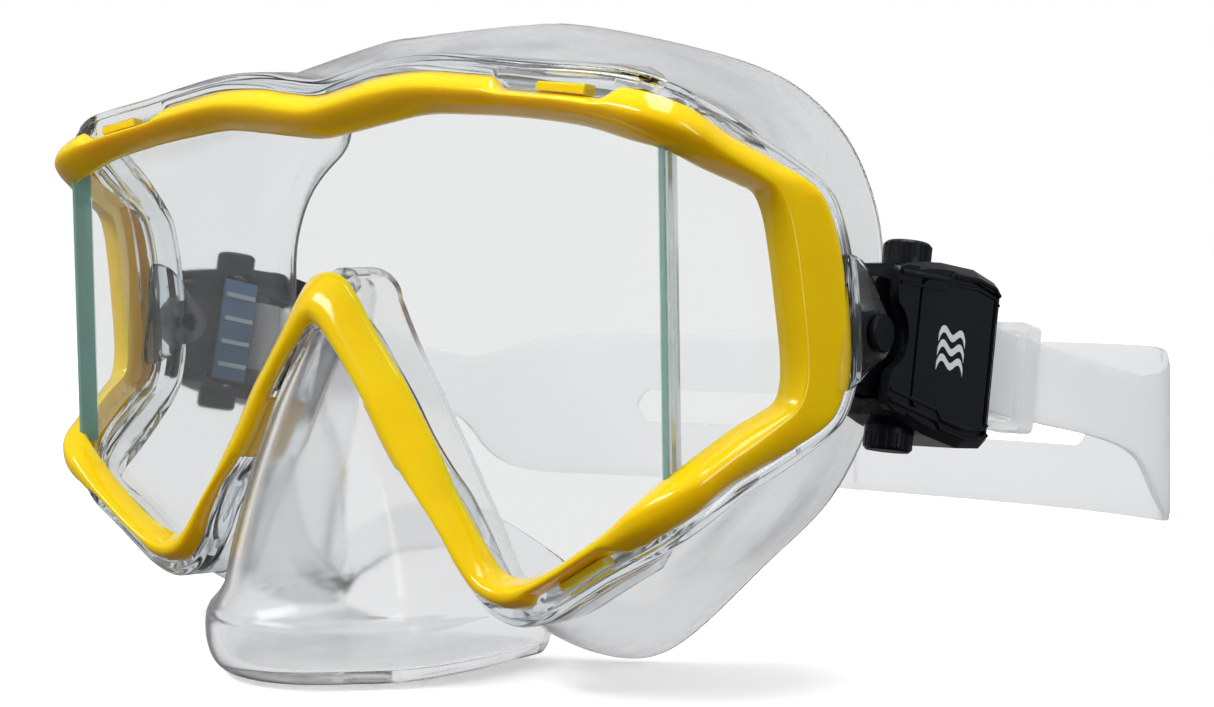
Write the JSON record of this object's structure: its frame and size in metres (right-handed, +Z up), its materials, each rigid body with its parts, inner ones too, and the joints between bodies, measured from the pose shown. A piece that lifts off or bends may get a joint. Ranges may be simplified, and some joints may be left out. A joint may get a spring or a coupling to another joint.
{
  "type": "snorkel mask",
  "caption": "Wrap-around snorkel mask with a clip-in yellow front frame, clear silicone skirt with nose pocket, swivelling push-button strap buckles and a split strap.",
  "frame": {"origin": "under the middle of the whole mask and strap, at the height the mask rests on", "axes": "+X to the wearer's left, -Y to the front of the mask (the lens side), +Z up"},
  "size_m": [0.1742, 0.1791, 0.105],
  "materials": {
    "yellow_frame": "high-gloss moulded, soft moulding ripple on the rails",
    "clear_frame": "clear polycarbonate, polished",
    "lens_glass": "tempered glass, green ground edges",
    "lens_bond": "clear bonding bead",
    "clear_silicone": "polished clear silicone",
    "strap_silicone": "milky silicone, ribbed ends",
    "black_plastic": "semi-gloss moulded nylon",
    "roller_plastic": "smooth acetal",
    "stainless": "passivated stainless",
    "badge_print": "pad-printed pale blue-grey"
  },
  "bodies": {
    "mask": {"bezel_frame": "yellow_frame", "inner_frame": "clear_frame", "front_lens": "lens_glass", "side_lens_left": "lens_glass", "side_lens_right": "lens_glass", "lens_seam_left": "lens_bond", "lens_seam_right": "lens_bond", "skirt": "clear_silicone", "swivel_pin_left": "stainless", "swivel_pin_right": "stainless", "strap": "strap_silicone", "strap_keeper_left": "clear_silicone", "strap_keeper_right": "clear_silicone"},
    "buckle_left": {"buckle_cover_left": "black_plastic", "buckle_base_left": "black_plastic", "roller_axle_left": "stainless", "upper_spring_left": "stainless", "lower_spring_left": "stainless", "wave_badge_left": "badge_print"},
    "roller_left": {"strap_roller_left": "roller_plastic"},
    "pawl_left": {"ratchet_pawl_left": "roller_plastic"},
    "upper_button_left": {"upper_button_left": "black_plastic"},
    "lower_button_left": {"lower_button_left": "black_plastic"},
    "buckle_right": {"buckle_cover_right": "black_plastic", "buckle_base_right": "black_plastic", "roller_axle_right": "stainless", "upper_spring_right": "stainless", "lower_spring_right": "stainless", "wave_badge_right": "badge_print"},
    "roller_right": {"strap_roller_right": "roller_plastic"},
    "pawl_right": {"ratchet_pawl_right": "roller_plastic"},
    "upper_button_right": {"upper_button_right": "black_plastic"},
    "lower_button_right": {"lower_button_right": "black_plastic"}
  },
  "joints": [
    {"name": "buckle_swivel_left", "type": "hinge", "parent": "mask", "child": "buckle_left", "pos_m": [0.081, -0.03685, 0.0542], "axis": [1, 0, 0], "range_deg": [-20, 30], "deforming": ["strap"]},
    {"name": "roller_spin_left", "type": "hinge", "parent": "buckle_left", "child": "roller_left", "pos_m": [0.0806, -0.01758, 0.0501], "axis": [0, 0.2079, 0.9781], "continuous": true},
    {"name": "upper_button_press_left", "type": "slide", "parent": "buckle_left", "child": "upper_button_left", "axis": [0, -0.2079, -0.9781], "range_m": [0, 0.0012], "stiffness_N_per_m": 400, "springref_m": -0.002, "deforming": ["upper_spring_left"]},
    {"name": "lower_button_press_left", "type": "slide", "parent": "buckle_left", "child": "lower_button_left", "axis": [0, 0.2079, 0.9781], "range_m": [0, 0.0012], "stiffness_N_per_m": 400, "springref_m": -0.002, "deforming": ["lower_spring_left"]},
    {"name": "pawl_release_left", "type": "hinge", "parent": "buckle_left", "child": "pawl_left", "pos_m": [0.0786, -0.02668, 0.05204], "axis": [0, 0.2079, 0.9781], "range_deg": [-12, 0]},
    {"name": "buckle_swivel_right", "type": "hinge", "parent": "mask", "child": "buckle_right", "pos_m": [-0.081, -0.03685, 0.0542], "axis": [1, 0, 0], "range_deg": [-20, 30], "deforming": ["strap"]},
    {"name": "roller_spin_right", "type": "hinge", "parent": "buckle_right", "child": "roller_right", "pos_m": [-0.0806, -0.01758, 0.0501], "axis": [0, 0.2079, 0.9781], "continuous": true},
    {"name": "upper_button_press_right", "type": "slide", "parent": "buckle_right", "child": "upper_button_right", "axis": [0, -0.2079, -0.9781], "range_m": [0, 0.0012], "stiffness_N_per_m": 400, "springref_m": -0.002, "deforming": ["upper_spring_right"]},
    {"name": "lower_button_press_right", "type": "slide", "parent": "buckle_right", "child": "lower_button_right", "axis": [0, 0.2079, 0.9781], "range_m": [0, 0.0012], "stiffness_N_per_m": 400, "springref_m": -0.002, "deforming": ["lower_spring_right"]},
    {"name": "pawl_release_right", "type": "hinge", "parent": "buckle_right", "child": "pawl_right", "pos_m": [-0.0786, -0.02668, 0.05204], "axis": [0, 0.2079, 0.9781], "range_deg": [0, 12]}
  ],
  "couplings": [
    {"joint": "pawl_release_left", "follows": "upper_button_press_left", "rad_per_m": -173.08},
    {"joint": "pawl_release_right", "follows": "upper_button_press_right", "rad_per_m": 173.08}
  ]
}
